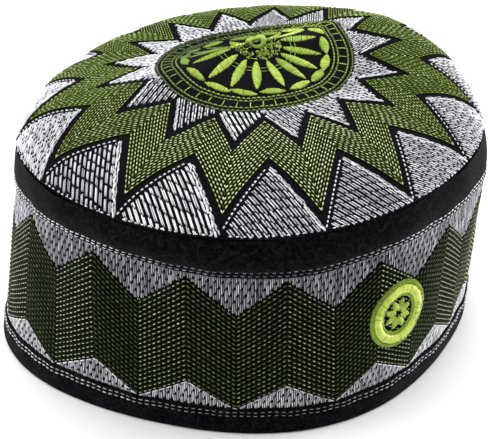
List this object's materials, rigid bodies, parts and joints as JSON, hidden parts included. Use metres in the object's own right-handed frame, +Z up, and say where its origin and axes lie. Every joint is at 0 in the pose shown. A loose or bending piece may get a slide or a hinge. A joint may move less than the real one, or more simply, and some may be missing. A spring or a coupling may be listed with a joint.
{
  "type": "kufi",
  "caption": "Round brimless cap with an upright embroidered wall, padded black band, domed star-patterned crown and bound rim; worn on the head.",
  "frame": {"origin": "middle of the hat's box in plan, at the level of the surface it stands on", "axes": "+Z up through the crown, -Y towards the front, +X to the right of someone who faces the front"},
  "size_m": [0.1972, 0.1871, 0.1122],
  "materials": {
    "crown_cloth": "close rows of green and silver thread on black cloth",
    "wall_cloth": "close rows of silver and dark green thread on black cloth",
    "black_cotton": "matt black cotton with white top-stitching",
    "silver_thread": "smooth silver-white embroidery thread",
    "green_thread": "smooth olive green embroidery thread",
    "lime_satin": "glossy lime satin stitch",
    "white_thread": "white sewing thread"
  },
  "bodies": {
    "root": {"crown_top": "crown_cloth", "crown_band": "black_cotton", "side_wall": "wall_cloth", "rim_binding": "black_cotton"}
  },
  "joints": []
}
